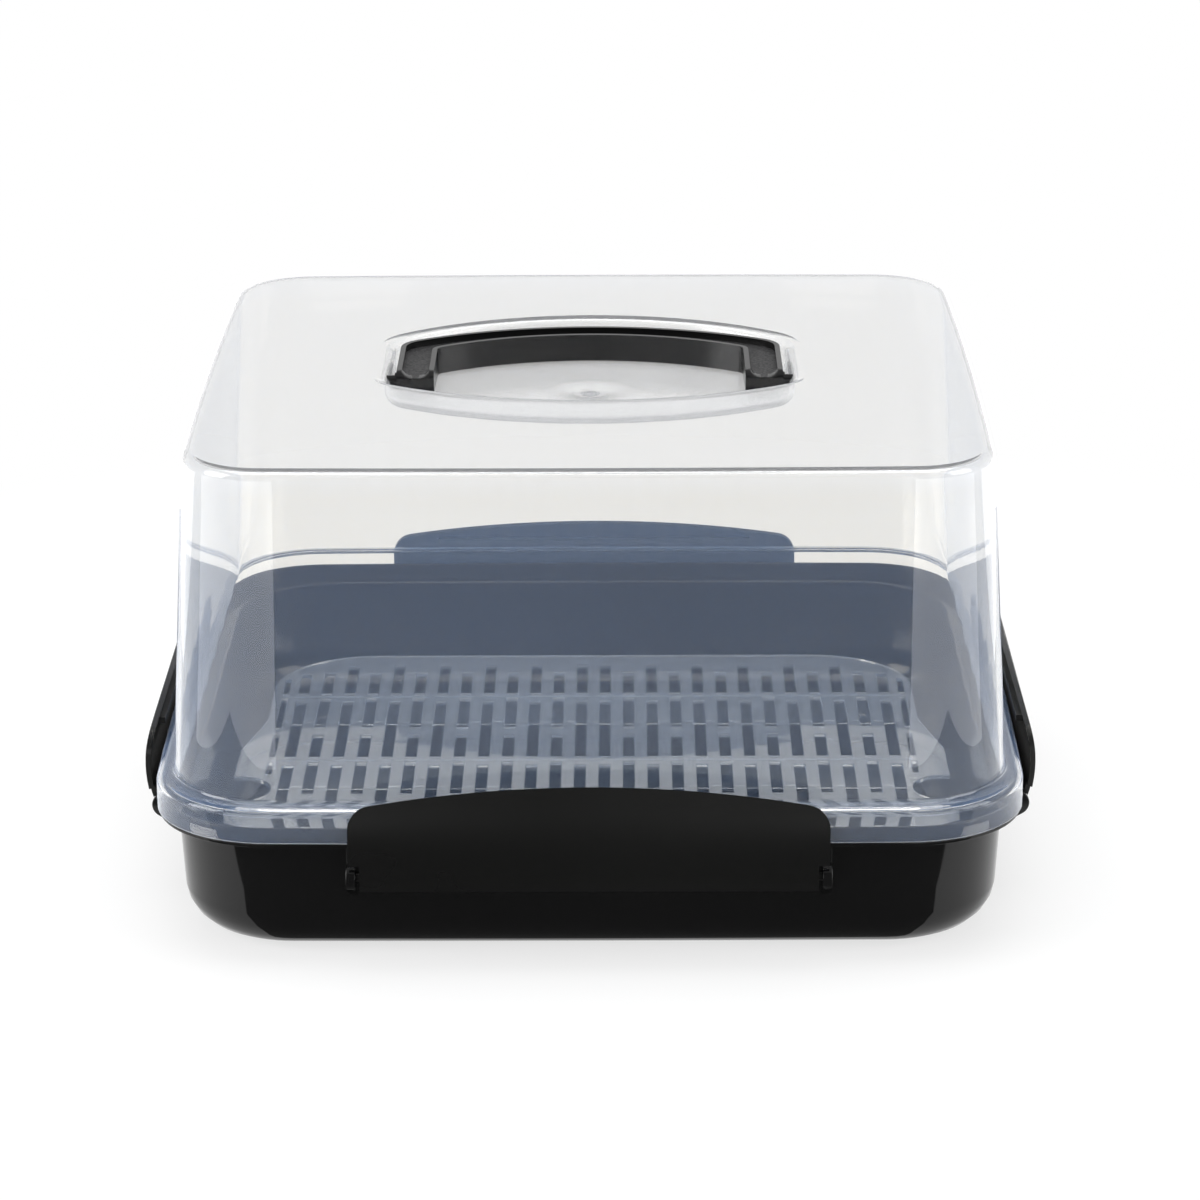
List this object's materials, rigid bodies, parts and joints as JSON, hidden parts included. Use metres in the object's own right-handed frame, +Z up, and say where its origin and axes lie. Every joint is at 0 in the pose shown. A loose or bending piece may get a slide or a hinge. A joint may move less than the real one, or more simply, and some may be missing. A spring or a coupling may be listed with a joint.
{
  "type": "cake carrier",
  "caption": "Square cake carrier: black tub, clear lift-off lid with a recessed folding handle, side clips hinged on the tub, and a clear perforated lift-out tray.",
  "frame": {"origin": "middle of the tub's foot, on the table", "axes": "+Z up, +X to the right and +Y to the rear as seen from the front"},
  "size_m": [0.3404, 0.3404, 0.1869],
  "materials": {
    "black_tub": "gloss",
    "clear_lid": "gloss, slightly milky translucent polypropylene",
    "black_handle": "satin gloss, fine grain in the channel",
    "black_clip": "satin",
    "clear_tray": "gloss, translucent polypropylene"
  },
  "bodies": {
    "base": {"tub": "black_tub"},
    "lid": {"lid": "clear_lid"},
    "handle": {"handle": "black_handle"},
    "clip_front": {"clip_front": "black_clip"},
    "clip_right": {"clip_right": "black_clip"},
    "clip_rear": {"clip_rear": "black_clip"},
    "clip_left": {"clip_left": "black_clip"},
    "tray": {"tray": "clear_tray"}
  },
  "joints": [
    {"name": "lid_lift", "type": "slide", "parent": "base", "child": "lid", "axis": [0, 0, 1], "range_m": [0, 0.2]},
    {"name": "handle_fold", "type": "hinge", "parent": "lid", "child": "handle", "pos_m": [0, -0.012, 0.1825], "axis": [1, 0, 0], "range_deg": [0, 95]},
    {"name": "clip_front_turn", "type": "hinge", "parent": "base", "child": "clip_front", "pos_m": [0, -0.1632, 0.035], "axis": [1, 0, 0], "range_deg": [-5, 115]},
    {"name": "clip_right_turn", "type": "hinge", "parent": "base", "child": "clip_right", "pos_m": [0.1632, 0, 0.035], "axis": [0, 1, 0], "range_deg": [-5, 115]},
    {"name": "clip_rear_turn", "type": "hinge", "parent": "base", "child": "clip_rear", "pos_m": [0, 0.1632, 0.035], "axis": [-1, 0, 0], "range_deg": [-5, 115]},
    {"name": "clip_left_turn", "type": "hinge", "parent": "base", "child": "clip_left", "pos_m": [-0.1632, 0, 0.035], "axis": [0, -1, 0], "range_deg": [-5, 115]},
    {"name": "tray_lift", "type": "slide", "parent": "base", "child": "tray", "axis": [0, 0, 1], "range_m": [0, 0.12]}
  ]
}
